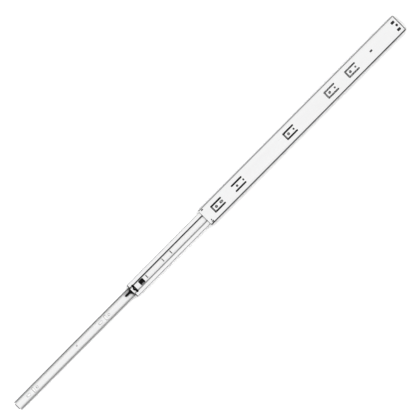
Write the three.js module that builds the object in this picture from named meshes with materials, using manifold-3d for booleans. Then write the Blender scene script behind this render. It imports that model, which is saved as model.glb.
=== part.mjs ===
// Full-extension cabinet drawer slide: three nested steel sections on four rows of balls, drawn out fully.
// Millimetres, +Z up. X runs along the slide and the drawer opens towards -X. Y runs from the cabinet's side
// panel (Y = 0) to the drawer's side (Y = 12.7). The origin is on the mounting face, at the middle of the
// cabinet section.
import * as THREE from "three";
import { mergeVertices } from "three/addons/utils/BufferGeometryUtils.js";
import Module from "manifold-3d";

// ---------------------------------------------------------------- driving dimensions

const SHEET = 1.2; // thickness of the rolled steel
const SLIDE_THICKNESS = 12.7; // cabinet panel to drawer side
const SYSTEM_PITCH = 32; // hole pitch of cabinet side panels

const CABINET_LENGTH = 604;
const CABINET_HALF_HEIGHT = 22.5;
const CABINET_DEPTH = 9.2;
const INTERMEDIATE_LENGTH = 560;
const DRAWER_LENGTH = 585;
const INTERMEDIATE_TRAVEL = 226.8; // how far each section stands out of the one that carries it
const DRAWER_TRAVEL = 356.2;

const BALL_RADIUS = 2;
const RACE_GAP = 0.15; // between a ball and the bottom of its race
const OUTER_BALL = { y: 4.9, z: 19.1 }; // centre of a ball between cabinet and intermediate sections
const INNER_BALL = { y: 8.9, z: 13.6 }; // centre of a ball between intermediate and drawer sections
const RACE_RADIUS = BALL_RADIUS + RACE_GAP + SHEET / 2; // middle line of a race that hugs its balls

const OUTER_CAGE = { start: 10.2, length: 300, y: [2.2, 7.5], balls: 13, pitch: 24 };
const INNER_CAGE = { start: 5, length: 210, y: [6.3, 11.8], balls: 10, pitch: 22 };
const CAGE_THICKNESS = 1;
const POCKET_RADIUS = 2.2;

const WEB_STEP = 7.9; // half width of the intermediate section's recessed middle
const WEB_STEP_SLOPE = 1.55; // half width of the sloping wall beside it
const WEB_RECESS = 2.4; // how deep that middle is set back
const SHOULDER_Y = 1.6; // outer face of the intermediate section beside the recess

const LEVER_PIVOT = 364.6; // behind the drawer section's front edge
const LEVER_Y = [8.6, 11.2];
const LEVER_NOSE_Y = 5.7; // how near the hook comes to the intermediate section
const LEVER_HUB_RADIUS = 9.6;

const FITTING_GAP = 0.3; // between pieces that touch
const COINED_EDGE = { length: 1.1, depth: 1.1 }; // a section's end is pressed thinner on its cabinet side

const BEND_STEP = 15; // degrees of a bend between two edges
const HOLE_SEGMENTS = 5; // edges of a half circle in a hole

// ---------------------------------------------------------------- solids

const wasm = await Module();
wasm.setup();

const ACROSS = {
  X: [new THREE.Vector3(0, 1, 0), new THREE.Vector3(0, 0, 1), new THREE.Vector3(1, 0, 0)],
  Y: [new THREE.Vector3(1, 0, 0), new THREE.Vector3(0, 0, 1), new THREE.Vector3(0, -1, 0)],
  Z: [new THREE.Vector3(1, 0, 0), new THREE.Vector3(0, 1, 0), new THREE.Vector3(0, 0, 1)],
};

function solidOf(geometry) {
  const bare = geometry.clone();
  bare.deleteAttribute("normal");
  bare.deleteAttribute("uv");
  const merged = mergeVertices(bare, 1e-4);
  return new wasm.Manifold(
    new wasm.Mesh({
      numProp: 3,
      vertProperties: merged.attributes.position.array,
      triVerts: new Uint32Array(merged.index.array),
    }),
  );
}

function geometryOf(solid) {
  const mesh = solid.getMesh();
  const geometry = new THREE.BufferGeometry();
  geometry.setAttribute("position", new THREE.BufferAttribute(mesh.vertProperties, mesh.numProp));
  geometry.setIndex(new THREE.BufferAttribute(mesh.triVerts, 1));
  geometry.computeVertexNormals();
  return geometry;
}

// A flat shape drawn out along one axis, from one place on it to another. The shape's own two
// directions are Y and Z for axis X, X and Z for axis Y, and X and Y for axis Z.
function drawnOut(shape, axis, from, to) {
  const geometry = new THREE.ExtrudeGeometry(shape, {
    depth: to - from,
    bevelEnabled: false,
    curveSegments: HOLE_SEGMENTS,
  });
  const [across, up, along] = ACROSS[axis];
  geometry.applyMatrix4(new THREE.Matrix4().makeBasis(across, up, along));
  const start = axis === "Y" ? to : from; // the Y basis draws out towards -Y
  const shift = { X: [start, 0, 0], Y: [0, start, 0], Z: [0, 0, start] }[axis];
  geometry.translate(...shift);
  return solidOf(geometry);
}

// Cuts flat shapes, which may cross one another, through a web that lies between two places on Y.
function cutThrough(solid, shapes, from, to) {
  return shapes.reduce((left, shape) => left.subtract(drawnOut(shape, "Y", from, to)), solid);
}

// The wedge that a coined end loses: from the face at y, over the length given, inwards from x. The end
// faces +X where facing is 1 and -X where it is -1.
function coined(x, y, facing, halfHeight) {
  const { length, depth } = COINED_EDGE;
  const corners = [
    [x - facing * length, y - 0.001],
    [x + facing, y - 0.001],
    [x + facing, y + (depth * (length + 1)) / length],
  ];
  return drawnOut(polygon(facing > 0 ? corners : corners.reverse()), "Z", -halfHeight, halfHeight);
}

function block(x, y, z) {
  const geometry = new THREE.BoxGeometry(x[1] - x[0], y[1] - y[0], z[1] - z[0]);
  geometry.translate((x[0] + x[1]) / 2, (y[0] + y[1]) / 2, (z[0] + z[1]) / 2);
  return solidOf(geometry);
}

// ---------------------------------------------------------------- flat shapes

function polygon(points) {
  return new THREE.Shape(points.map(([a, b]) => new THREE.Vector2(a, b)));
}

function circle(x, z, radius) {
  const shape = new THREE.Shape().absarc(x, z, radius, 0, Math.PI, false);
  return shape.absarc(x, z, radius, Math.PI, 2 * Math.PI, false);
}

// A slot with round ends, centred on x, z. It lies along its longer side.
function roundSlot(x, z, width, height) {
  const radius = Math.min(width, height) / 2;
  const [dx, dz] = [width / 2 - radius, height / 2 - radius];
  const shape = new THREE.Shape();
  if (dx > dz) {
    shape.absarc(x + dx, z, radius, -Math.PI / 2, Math.PI / 2, false);
    shape.absarc(x - dx, z, radius, Math.PI / 2, 1.5 * Math.PI, false);
  } else {
    shape.absarc(x, z + dz, radius, 0, Math.PI, false);
    shape.absarc(x, z - dz, radius, Math.PI, 2 * Math.PI, false);
  }
  return shape;
}

// Straight runs through corners [a, b, radius], each corner rounded by an arc of its radius.
function roundedLine(corners) {
  const line = [];
  corners.forEach(([a, b, radius], i) => {
    const corner = new THREE.Vector2(a, b);
    if (!radius || i === 0 || i === corners.length - 1) {
      line.push(corner);
      return;
    }
    const back = new THREE.Vector2(...corners[i - 1].slice(0, 2)).sub(corner).normalize();
    const ahead = new THREE.Vector2(...corners[i + 1].slice(0, 2)).sub(corner).normalize();
    const half = Math.acos(THREE.MathUtils.clamp(back.dot(ahead), -1, 1)) / 2;
    const centre = back.clone().add(ahead).setLength(radius / Math.sin(half)).add(corner);
    const start = back.multiplyScalar(radius / Math.tan(half)).add(corner).sub(centre);
    const turn = Math.PI - 2 * half;
    const side = Math.sign(start.cross(corner.clone().sub(centre)));
    const steps = Math.max(1, Math.round(THREE.MathUtils.radToDeg(turn) / BEND_STEP));
    for (let k = 0; k <= steps; k++) {
      const spoke = start.clone().rotateAround(new THREE.Vector2(), (side * turn * k) / steps);
      line.push(spoke.add(centre));
    }
  });
  return line;
}

function roundedShape(corners) {
  const closed = [corners.at(-1), ...corners, corners[0]];
  return new THREE.Shape(roundedLine(closed).slice(1, -1));
}

function roundedBox(x, z, width, height, radius) {
  const [a, b] = [width / 2, height / 2];
  return roundedShape([
    [x - a, z - b, radius],
    [x + a, z - b, radius],
    [x + a, z + b, radius],
    [x - a, z + b, radius],
  ]);
}

// ---------------------------------------------------------------- rolled sections

// A line moved sideways, to its left where distance is positive.
function beside(line, distance) {
  return line.map((point, i) => {
    const before = point.clone().sub(line[Math.max(i - 1, 0)]);
    const after = line[Math.min(i + 1, line.length - 1)].clone().sub(point);
    if (i === 0) before.copy(after);
    if (i === line.length - 1) after.copy(before);
    const mean = before.normalize().add(after.normalize()).normalize();
    const reach = distance / mean.dot(after);
    return new THREE.Vector2(-mean.y, mean.x).multiplyScalar(reach).add(point);
  });
}

// The cross-section of a bent sheet, from the middle line of its upper half.
function sheetSection(corners) {
  const upper = roundedLine(corners);
  const lower = upper.slice(1).reverse().map((p) => new THREE.Vector2(p.x, -p.y));
  const middle = [...lower, ...upper];
  const outline = [...beside(middle, SHEET / 2), ...beside(middle, -SHEET / 2).reverse()];
  return new THREE.Shape(outline);
}

const GROOVE_SLOPE = THREE.MathUtils.degToRad(25);
const GROOVE_HALF_WIDTH = 1.5;

// Height of the middle line beside a groove that carries a ball on its upper side.
function grooveEdge(ball) {
  const bottom = ball.z - RACE_RADIUS;
  const corner = bottom - RACE_RADIUS * (1 / Math.cos(GROOVE_SLOPE) - 1);
  return corner + GROOVE_HALF_WIDTH * Math.tan(GROOVE_SLOPE);
}

// Corners of that groove, run in the direction given by way: 1 towards +Y, -1 towards -Y.
function groove(ball, way, firstRadius, lastRadius) {
  const edge = grooveEdge(ball);
  const reach = way * GROOVE_HALF_WIDTH;
  return [
    [ball.y - reach, edge, firstRadius],
    [ball.y, edge - GROOVE_HALF_WIDTH * Math.tan(GROOVE_SLOPE), RACE_RADIUS],
    [ball.y + reach, edge, lastRadius],
  ];
}

const CABINET_BEND = 4.7; // middle-line radius of the flange where it leaves the web
const CABINET_LIP_BEND = 3.3;

function cabinetSection() {
  const top = CABINET_HALF_HEIGHT - SHEET / 2;
  return sheetSection([
    [SHEET / 2, 0],
    [SHEET / 2, top, CABINET_BEND],
    [CABINET_DEPTH - SHEET / 2, top, CABINET_LIP_BEND],
    [CABINET_DEPTH - SHEET / 2, top - CABINET_LIP_BEND - 0.1],
  ]);
}

const INNER_LIP_WRAP = THREE.MathUtils.degToRad(65); // how far the intermediate's lip wraps its inner balls

function intermediateSection() {
  const shoulder = SHOULDER_Y + SHEET / 2;
  const edge = grooveEdge(OUTER_BALL);
  const race = INNER_BALL.z + RACE_RADIUS;
  const corner = INNER_BALL.y + RACE_RADIUS * Math.tan(INNER_LIP_WRAP / 2);
  const end = new THREE.Vector2(RACE_RADIUS + 0.02, 0.1);
  end.rotateAround(new THREE.Vector2(), Math.PI / 2 - INNER_LIP_WRAP);
  return sheetSection([
    [shoulder + WEB_RECESS, 0],
    [shoulder + WEB_RECESS, WEB_STEP - WEB_STEP_SLOPE, 1],
    [shoulder, WEB_STEP + WEB_STEP_SLOPE, 1],
    [shoulder, edge, 0.9],
    ...groove(OUTER_BALL, 1, 1.2, 0.8),
    [INNER_BALL.y - 1.1, race, 1.5],
    [corner, race, RACE_RADIUS],
    [INNER_BALL.y + end.x + 0.08, INNER_BALL.z + end.y - 0.18],
  ]);
}

const DRAWER_LIP_Y = 6.6;

function drawerSection() {
  const web = SLIDE_THICKNESS - SHEET / 2;
  const edge = grooveEdge(INNER_BALL);
  return sheetSection([
    [web, 0],
    [web, edge, 1.3],
    ...groove(INNER_BALL, -1, 1.2, 1.2),
    [DRAWER_LIP_Y, edge],
  ]);
}

// ---------------------------------------------------------------- finishes

function finish(color, roughness, metalness) {
  return new THREE.MeshStandardMaterial({ color, roughness, metalness });
}

const zincPlate = () => finish(0xe6e8ea, 0.32, 0.9);
const cageSteel = () => finish(0xc9ccd0, 0.4, 0.9);
const ballSteel = () => finish(0xd8dadd, 0.12, 1);
const rivetSteel = () => finish(0x4c4d50, 0.45, 0.9);
const blackPlastic = () => finish(0x1b1b1d, 0.5, 0);

function piece(name, solid, material) {
  const mesh = new THREE.Mesh(geometryOf(solid), material);
  mesh.name = name;
  return mesh;
}

// ---------------------------------------------------------------- cabinet section
// Its own X starts at its front edge.

const TAB_FIRST_HOLE = 35.5;
const TAB_HOLES_AT = [0, 7, 11, 13]; // in steps of the panel's hole pitch
const TAB_HOLE_RADIUS = 2.75;
const TAB_SLOT_Z = 7.7;
const TAB_SLOT_WIDTH = 2.9;
const TAB_FRONT = -9.2; // from the tab's screw hole
const TAB_REAR = 20.6;
const SECOND_HOLE = { behind: 15.7, radius: 1.75 };
const SECOND_SLOT = { behind: 15.2, length: 8.3, width: 4.8 }; // on the front tab, for adjusting
const BRIDGE = { hole: TAB_FIRST_HOLE + 2 * SYSTEM_PITCH, radius: 2.25, second: 19.4 };
const MARK = { z: -12.8, radius: 0.9 }; // a pilot hole below the front edge's lower stop
const CAGE_STOP = { x: 7.5, halfWidth: 1.9, y: [1.4, 3.6], z: [19.3, 20.4] };
const CAGE_STOP_CUT = { halfWidth: 2.5, base: 16, tipHalfWidth: 1, tip: 20, depth: 3.2 };
const REAR_STOP = { x: 515.8, length: 6.6, width: 2.8, y: [0.8, 3.2], halfHeight: 1.3 };
const REAR_SLOTS = { x: 592.8, z: 10, width: 8, height: 4.8, corner: 1 };
const REAR_HOLE = { x: 595.7, radius: 2.5 };
const REAR_CORNER = 4.5;

// The long cuts beside a tab, joined at the front by a cross cut unless the tab is a bridge.
function tabCuts(hole, bridge) {
  const front = hole + TAB_FRONT - TAB_SLOT_WIDTH / 2;
  const rear = hole + TAB_REAR;
  const sides = [-TAB_SLOT_Z, TAB_SLOT_Z].map((z) =>
    roundSlot((front + rear) / 2, z, rear - front, TAB_SLOT_WIDTH),
  );
  if (bridge) return sides;
  return [...sides, roundSlot(hole + TAB_FRONT, 0, TAB_SLOT_WIDTH, 2 * TAB_SLOT_Z + TAB_SLOT_WIDTH)];
}

// One of the two slots for the rear bumper's lugs, or the lug itself where inset is more than 0.
function rearSlot(side, inset) {
  const { x, z, width, height, corner } = REAR_SLOTS;
  return roundedBox(x, side * z, width - 2 * inset, height - 2 * inset, corner - inset / 2);
}

function cabinetCuts() {
  const shapes = [];
  TAB_HOLES_AT.forEach((step, i) => {
    const hole = TAB_FIRST_HOLE + step * SYSTEM_PITCH;
    shapes.push(...tabCuts(hole, false), circle(hole, 0, TAB_HOLE_RADIUS));
    shapes.push(
      i === 0
        ? roundSlot(hole + SECOND_SLOT.behind, 0, SECOND_SLOT.length, SECOND_SLOT.width)
        : circle(hole + SECOND_HOLE.behind, 0, SECOND_HOLE.radius),
    );
  });
  shapes.push(...tabCuts(BRIDGE.hole, true), circle(BRIDGE.hole, 0, BRIDGE.radius));
  shapes.push(circle(BRIDGE.hole + BRIDGE.second, 0, SECOND_HOLE.radius));
  shapes.push(circle(CAGE_STOP.x, MARK.z, MARK.radius));
  shapes.push(roundSlot(REAR_STOP.x, 0, REAR_STOP.length, REAR_STOP.width));
  shapes.push(rearSlot(-1, 0), rearSlot(1, 0), circle(REAR_HOLE.x, 0, REAR_HOLE.radius));
  return shapes;
}

// A small tab left standing in each ball race stops the cage at the front edge.
function cageStops() {
  const { x, halfWidth, y, z } = CAGE_STOP;
  return [-1, 1].map((side) => {
    const span = z.map((height) => side * height).sort((a, b) => a - b);
    return block([x - halfWidth, x + halfWidth], y, span);
  });
}

function cageStopCuts() {
  const { halfWidth, base, tipHalfWidth, tip, depth } = CAGE_STOP_CUT;
  return [-1, 1].map((side) => {
    const corners = [
      [CAGE_STOP.x - halfWidth, side * base],
      [CAGE_STOP.x + halfWidth, side * base],
      [CAGE_STOP.x + tipHalfWidth, side * tip],
      [CAGE_STOP.x - tipHalfWidth, side * tip],
    ];
    return drawnOut(polygon(side > 0 ? corners : corners.reverse()), "Y", -1, depth);
  });
}

function cabinetSolid() {
  const margin = CABINET_HALF_HEIGHT + 1.5;
  const plan = roundedShape([
    [0, -margin],
    [CABINET_LENGTH, -margin, REAR_CORNER],
    [CABINET_LENGTH, margin, REAR_CORNER],
    [0, margin],
  ]);
  let solid = drawnOut(cabinetSection(), "X", -1, CABINET_LENGTH + 1);
  solid = solid.intersect(drawnOut(plan, "Y", -1, CABINET_DEPTH + 1));
  solid = cutThrough(solid, cabinetCuts(), -1, SHEET + 1);
  for (const cut of cageStopCuts()) solid = solid.subtract(cut);
  for (const stop of cageStops()) solid = solid.add(stop);
  return solid.add(rearStop()).subtract(coined(CABINET_LENGTH, 0, 1, margin));
}

// A tab raised at the front of its slot stops the intermediate section before the bumper.
function rearStop() {
  const { x, length, y, halfHeight } = REAR_STOP;
  const front = x - length / 2;
  return block([front - 1, front + 0.1], y, [-halfHeight, halfHeight]);
}

const BUMPER = { x: [588.6, 600.5], halfHeight: 14, y: [SHEET + FITTING_GAP, 11.6], lugY: 0.2 };
const BUMPER_RELIEF = { x: 594, width: 5, height: 18, floor: 4 };

// A moulded block closes the rear end. Two lugs and a peg hold it in the web.
function rearBumperSolid() {
  const [front, rear] = BUMPER.x;
  const half = BUMPER.halfHeight;
  const body = roundedShape([
    [front, -half, 1.5],
    [rear, -half, 3],
    [rear, half, 3],
    [front, half, 1.5],
  ]);
  const [back, top] = BUMPER.y;
  let solid = drawnOut(body, "Y", back, top);
  [-1, 1].forEach((side) => {
    solid = solid.add(drawnOut(rearSlot(side, FITTING_GAP), "Y", BUMPER.lugY, back + 1));
  });
  const peg = circle(REAR_HOLE.x, 0, REAR_HOLE.radius - FITTING_GAP);
  solid = solid.add(drawnOut(peg, "Y", BUMPER.lugY, back + 1));
  const { x, width, height, floor } = BUMPER_RELIEF;
  return solid.subtract(drawnOut(roundSlot(x, 0, width, height), "Y", floor, top + 1));
}

// ---------------------------------------------------------------- intermediate section

const PIVOT_SLOT = { x: 8.7, width: 4.2, halfLength: 9.9, bulge: 4.5 };
const PIVOT_RELIEF = { z: 8, radius: 2 }; // where the slot crosses the bends beside the recess
const HOOK_WINDOW = { x: 29.8, z: -0.4, width: 12, height: 11.8, corner: 2 };
const HOOK_STOP = { y: [SHOULDER_Y + WEB_RECESS + 0.4, 7.8], z: [-5.5, -1] };
const TICKS = { x: [45.6, 95.9, 120.7], width: [1.5, 0.9, 1.2], z: 0.4, height: 8 };

function pivotSlotCuts() {
  const { x, width, halfLength, bulge } = PIVOT_SLOT;
  const relief = [-1, 1].map((side) => circle(x, side * PIVOT_RELIEF.z, PIVOT_RELIEF.radius));
  const front = new THREE.Shape().absarc(x, 0, bulge, Math.PI / 2, 1.5 * Math.PI, false);
  return [roundSlot(x, 0, width, 2 * halfLength), ...relief, front];
}

function intermediateSolid() {
  const section = drawnOut(intermediateSection(), "X", 0, INTERMEDIATE_LENGTH);
  const { x, z, width, height, corner } = HOOK_WINDOW;
  const cuts = [
    ...pivotSlotCuts(),
    roundedBox(x, z, width, height, corner),
    ...TICKS.x.map((tick, i) => roundSlot(tick, TICKS.z, TICKS.width[i], TICKS.height)),
  ];
  const back = SHOULDER_Y + WEB_RECESS + SHEET;
  const cut = cutThrough(section, cuts, -1, back + 1).add(hookStop());
  return cut.subtract(coined(0, SHOULDER_Y, -1, CABINET_HALF_HEIGHT));
}

// The tab bent in at the window's front edge is what the lever's hook catches on.
function hookStop() {
  const rear = HOOK_WINDOW.x - HOOK_WINDOW.width / 2 + 0.2;
  return block([rear - SHEET, rear], HOOK_STOP.y, HOOK_STOP.z);
}

// ---------------------------------------------------------------- drawer section

const DRAWER_HOLE_GROUPS = [0, 7, 14]; // in steps of the panel's hole pitch
const LONG_SLOT = { x: 33.8, width: 10.5, height: 4.8 };
const CROSS_SLOT = { x: 49.5, width: 4.8, height: 11.8 };
const LOCK_HOLE = { x: 59.4, radius: 2.4 };
const PILOT_HOLE = { x: 185, z: 1.8, radius: 1.4 };
const RIVET_HOLE_RADIUS = 1.8;
const DRAWER_TONGUE = { length: 3, halfWidth: 7.25 };
const DRAWER_PLAN_MARGIN = 14; // half height that clears the lips

function drawerCuts() {
  const shapes = [
    circle(PILOT_HOLE.x, PILOT_HOLE.z, PILOT_HOLE.radius),
    circle(LEVER_PIVOT, 0, RIVET_HOLE_RADIUS),
  ];
  for (const step of DRAWER_HOLE_GROUPS) {
    const start = step * SYSTEM_PITCH;
    shapes.push(roundSlot(start + LONG_SLOT.x, 0, LONG_SLOT.width, LONG_SLOT.height));
    shapes.push(roundSlot(start + CROSS_SLOT.x, 0, CROSS_SLOT.width, CROSS_SLOT.height));
    shapes.push(circle(start + LOCK_HOLE.x, 0, LOCK_HOLE.radius));
  }
  return shapes;
}

function drawerSolid() {
  const margin = DRAWER_PLAN_MARGIN;
  const { length, halfWidth } = DRAWER_TONGUE;
  const plan = roundedShape([
    [-length, -halfWidth, 2],
    [0, -halfWidth],
    [0, -margin],
    [DRAWER_LENGTH, -margin, 3],
    [DRAWER_LENGTH, margin, 3],
    [0, margin],
    [0, halfWidth],
    [-length, halfWidth, 2],
  ]);
  const section = drawnOut(drawerSection(), "X", -length - 1, DRAWER_LENGTH + 1);
  const trimmed = section.intersect(drawnOut(plan, "Y", 0, SLIDE_THICKNESS + 1));
  const inner = SLIDE_THICKNESS - SHEET;
  const cut = cutThrough(trimmed, drawerCuts(), inner - 1, SLIDE_THICKNESS + 1);
  return cut.subtract(coined(-length, inner, -1, halfWidth + 1));
}

// A rivet carries the lever. It turns on the shank, between the head and the web.
function leverRivetSolid() {
  const shank = 1.5;
  const head = 2.4;
  const under = LEVER_Y[0] - FITTING_GAP;
  const top = under - 0.9;
  const tail = SLIDE_THICKNESS - 0.1;
  const profile = [
    [0, top],
    [head - 0.5, top],
    [head, top + 0.3],
    [head, under],
    [shank, under],
    [shank, tail],
    [0, tail],
  ];
  const geometry = new THREE.LatheGeometry(profile.map(([r, y]) => new THREE.Vector2(r, y)), 16);
  const solid = solidOf(geometry);
  return solid.translate([LEVER_PIVOT, 0, 0]);
}

// ---------------------------------------------------------------- release lever
// Places are from its pivot.

const LEVER_BORE = 1.8;

function leverBodyShape() {
  const hub = LEVER_HUB_RADIUS;
  const shape = roundedShape([
    [-27.4, 0.1, 1.5],
    [-27.4, 3.9, 1.5],
    [-14, 4, 4],
    [-9.8, 8.3, 1.2],
    [-5, hub - 0.6, 3],
    [0, hub, 6],
    [5, hub - 1.3, 3],
    [8, 4.4, 4],
    [17, 4.2, 0.8],
    [17, -3.2, 0.8],
    [8, -4, 4],
    [5, -hub + 1.3, 3],
    [0, -hub, 6],
    [-5, -hub + 0.6, 3],
    [-9.8, -7.7, 1.2],
    [-14.6, -0.1, 5],
  ].reverse());
  shape.holes.push(circle(0, 0, LEVER_BORE));
  return shape;
}

// An arch seen from the cabinet: its short front leg catches the stop.
function leverHookShape() {
  return roundedShape([
    [16.6, -3.4, 0.6],
    [20, -3.5, 0.5],
    [21.5, -1.2, 0.5],
    [24.2, -4.2, 0.4],
    [26.4, -5.6, 0.5],
    [26.9, 1.5, 1.5],
    [25.7, 4.7, 1.2],
    [19.4, 4.6, 2],
    [16.6, 1.4, 2],
  ]);
}

function releaseLeverSolid() {
  const body = drawnOut(leverBodyShape(), "Y", ...LEVER_Y);
  const hook = drawnOut(leverHookShape(), "Y", LEVER_NOSE_Y, LEVER_Y[1]);
  return body.add(hook);
}

// ---------------------------------------------------------------- balls and cages

function ballPlaces({ start, length, balls, pitch }) {
  const first = start + (length - (balls - 1) * pitch) / 2;
  return Array.from({ length: balls }, (_, i) => first + i * pitch);
}

function cageStrip(cage, ball, side) {
  const [low, high] = cage.y;
  const strip = roundedShape([
    [cage.start, low, 0.8],
    [cage.start + cage.length, low, 0.8],
    [cage.start + cage.length, high, 0.8],
    [cage.start, high, 0.8],
  ]);
  strip.holes.push(...ballPlaces(cage).map((x) => circle(x, ball.y, POCKET_RADIUS)));
  const middle = side * ball.z;
  return drawnOut(strip, "Z", middle - CAGE_THICKNESS / 2, middle + CAGE_THICKNESS / 2);
}

const SIDES = { upper: 1, lower: -1 };

function ballTrain(name, cage, ball) {
  const group = new THREE.Group();
  for (const [row, side] of Object.entries(SIDES)) {
    group.add(piece(`${name}_cage_${row}`, cageStrip(cage, ball, side), cageSteel()));
    ballPlaces(cage).forEach((x, i) => {
      const mesh = new THREE.Mesh(new THREE.IcosahedronGeometry(BALL_RADIUS, 1), ballSteel());
      mesh.name = `${name}_ball_${row}_${String(i + 1).padStart(2, "0")}`;
      mesh.position.set(x, ball.y, side * ball.z);
      group.add(mesh);
    });
  }
  return group;
}

// ---------------------------------------------------------------- assembly

function releaseLever() {
  const lever = piece("release_lever", releaseLeverSolid(), blackPlastic());
  lever.position.x = LEVER_PIVOT;
  return lever;
}

function drawerGroup() {
  const group = new THREE.Group();
  group.position.x = -DRAWER_TRAVEL;
  group.add(piece("drawer_member", drawerSolid(), zincPlate()));
  group.add(piece("lever_rivet", leverRivetSolid(), rivetSteel()));
  group.add(releaseLever());
  return group;
}

function intermediateGroup() {
  const group = new THREE.Group();
  group.position.x = -INTERMEDIATE_TRAVEL;
  group.add(piece("intermediate_member", intermediateSolid(), zincPlate()));
  group.add(ballTrain("inner", INNER_CAGE, INNER_BALL));
  group.add(drawerGroup());
  return group;
}

const slide = new THREE.Group();
slide.position.x = -CABINET_LENGTH / 2;
slide.add(piece("cabinet_member", cabinetSolid(), zincPlate()));
slide.add(piece("rear_bumper", rearBumperSolid(), blackPlastic()));
slide.add(ballTrain("outer", OUTER_CAGE, OUTER_BALL));
slide.add(intermediateGroup());

export default slide;
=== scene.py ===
import math

import bmesh
import bpy
from mathutils import Matrix, Vector


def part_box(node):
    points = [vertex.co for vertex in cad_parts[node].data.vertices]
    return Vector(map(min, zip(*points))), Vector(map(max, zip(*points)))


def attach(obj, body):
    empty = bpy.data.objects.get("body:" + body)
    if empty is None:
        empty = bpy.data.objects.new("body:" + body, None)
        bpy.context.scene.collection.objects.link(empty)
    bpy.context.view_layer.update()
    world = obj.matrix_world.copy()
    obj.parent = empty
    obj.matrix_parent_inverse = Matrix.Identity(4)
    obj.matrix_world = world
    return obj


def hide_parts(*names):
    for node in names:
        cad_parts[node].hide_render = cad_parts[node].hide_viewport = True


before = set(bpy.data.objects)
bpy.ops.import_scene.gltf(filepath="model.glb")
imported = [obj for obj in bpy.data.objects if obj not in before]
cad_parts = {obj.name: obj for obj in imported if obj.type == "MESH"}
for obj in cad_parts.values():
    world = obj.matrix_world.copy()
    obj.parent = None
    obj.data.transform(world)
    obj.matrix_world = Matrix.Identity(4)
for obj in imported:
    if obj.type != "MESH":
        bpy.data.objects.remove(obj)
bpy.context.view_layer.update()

# The cabinet drawer slide: its rolled steel sections, ball trains, release lever and rear bumper.
# Outlines are in millimetres: X along the slide from a section's front edge, Y from the cabinet panel
# towards the drawer, Z up. A finished mesh is scaled to metres and set where its CAD node stands.

MM = 0.001

# ---------------------------------------------------------------- driving dimensions

SHEET = 1.2
THICKNESS = 12.7
PITCH = 32.0  # of the holes in cabinet side panels
CABINET_HALF_HEIGHT = 22.5
CABINET_DEPTH = 9.2
BALL_RADIUS = 2.0
RACE_GAP = 0.15
RACE_RADIUS = BALL_RADIUS + RACE_GAP + SHEET / 2
OUTER_BALL = (4.9, 19.1)  # y and z of the upper row's centres
INNER_BALL = (8.9, 13.6)
GROOVE_SLOPE = math.radians(25)
GROOVE_HALF_WIDTH = 1.5
SHOULDER_Y = 1.6
WEB_STEP = 7.9  # half height at which the intermediate member's web steps back
WEB_STEP_SLOPE = 1.55  # half height that the step itself takes
WEB_RECESS = 2.4
LEVER_PIVOT = 364.6
LEVER_Y = (8.6, 11.2)
LEVER_NOSE_Y = 5.7
LEVER_BORE = 1.8
ARC_STEP = math.radians(6)
COINED_LENGTH = 2.0  # a section's end is pressed thinner on its cabinet side
COINED_DEPTH = 1.1
LIP_ROUND = 0.9  # how far back a lip's end is rounded
CUT_CHAMFER = 0.45  # broken edge of a cut on the cabinet side
CHAMFER_START = 0.01  # how far before the face the chamfering tool starts to taper
EDGE_ROUND = 0.14  # rounding of a stamped edge
PAST = 1.0  # how far a cutting tool reaches past what it cuts
BITE = 0.001  # a cutting tool's overlap with a face that it starts from
WELD = 1e-4  # corners closer than this are one
SHARP = math.radians(35)  # a crease steeper than this stays sharp and is rounded


# ---------------------------------------------------------------- outlines

def rounded_line(corners):
    """Straight runs through corners (a, b, radius), each corner rounded by an arc of its radius."""
    line = []
    for i, corner in enumerate(corners):
        point = Vector(corner[:2])
        radius = corner[2] if len(corner) > 2 else 0
        if not radius or i in (0, len(corners) - 1):
            line.append(point)
            continue
        back = (Vector(corners[i - 1][:2]) - point).normalized()
        ahead = (Vector(corners[i + 1][:2]) - point).normalized()
        half = back.angle(ahead) / 2
        centre = point + (back + ahead).normalized() * radius / math.sin(half)
        start = point + back * radius / math.tan(half) - centre
        turn = math.pi - 2 * half
        to_corner = point - centre
        side = math.copysign(1, start.x * to_corner.y - start.y * to_corner.x)
        steps = max(2, round(turn / ARC_STEP))
        for k in range(steps + 1):
            angle = side * turn * k / steps
            line.append(centre + Matrix.Rotation(angle, 2) @ start)
    return line


def rounded_shape(corners):
    """A closed outline with rounded corners."""
    return rounded_line([corners[-1], *corners, corners[0]])[1:-1]


def circle(x, z, radius, steps=40):
    turns = (2 * math.pi * k / steps for k in range(steps))
    return [Vector((x + radius * math.cos(t), z + radius * math.sin(t))) for t in turns]


def rounded_box(x, z, width, height, radius):
    """A rectangle round (x, z) with rounded corners."""
    a, b = width / 2, height / 2
    signs = ((-1, -1), (1, -1), (1, 1), (-1, 1))
    return rounded_shape([(x + s * a, z + t * b, radius) for s, t in signs])


def round_slot(x, z, width, height):
    """A slot with ends that are as good as half round."""
    return rounded_box(x, z, width, height, 0.499 * min(width, height))


# ---------------------------------------------------------------- solids in mesh code

AXES = {
    "X": lambda a, b, along: (along, a, b),
    "Y": lambda a, b, along: (a, along, b),
    "Z": lambda a, b, along: (a, b, along),
}


def prism(name, outline, axis, low, high, material_index=0, cap_index=None):
    """An outline drawn out along an axis, as a closed mesh object in millimetres."""
    place = AXES[axis]
    mesh = bmesh.new()
    rings = [[mesh.verts.new(place(p[0], p[1], at)) for p in outline] for at in (low, high)]
    count = len(outline)
    for i in range(count):
        j = (i + 1) % count
        face = mesh.faces.new((rings[0][i], rings[0][j], rings[1][j], rings[1][i]))
        face.material_index = material_index
    for ring in (rings[0][::-1], rings[1]):
        cap = mesh.faces.new(ring)
        cap.material_index = material_index if cap_index is None else cap_index
    bmesh.ops.recalc_face_normals(mesh, faces=mesh.faces)
    return mesh_object(name, mesh)


def mesh_object(name, mesh):
    data = bpy.data.meshes.new(name)
    mesh.to_mesh(data)
    mesh.free()
    for _ in range(2):  # rolled or moulded faces, and cut faces
        data.materials.append(None)
    made = bpy.data.objects.new(name, data)
    bpy.context.scene.collection.objects.link(made)
    return made


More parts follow.
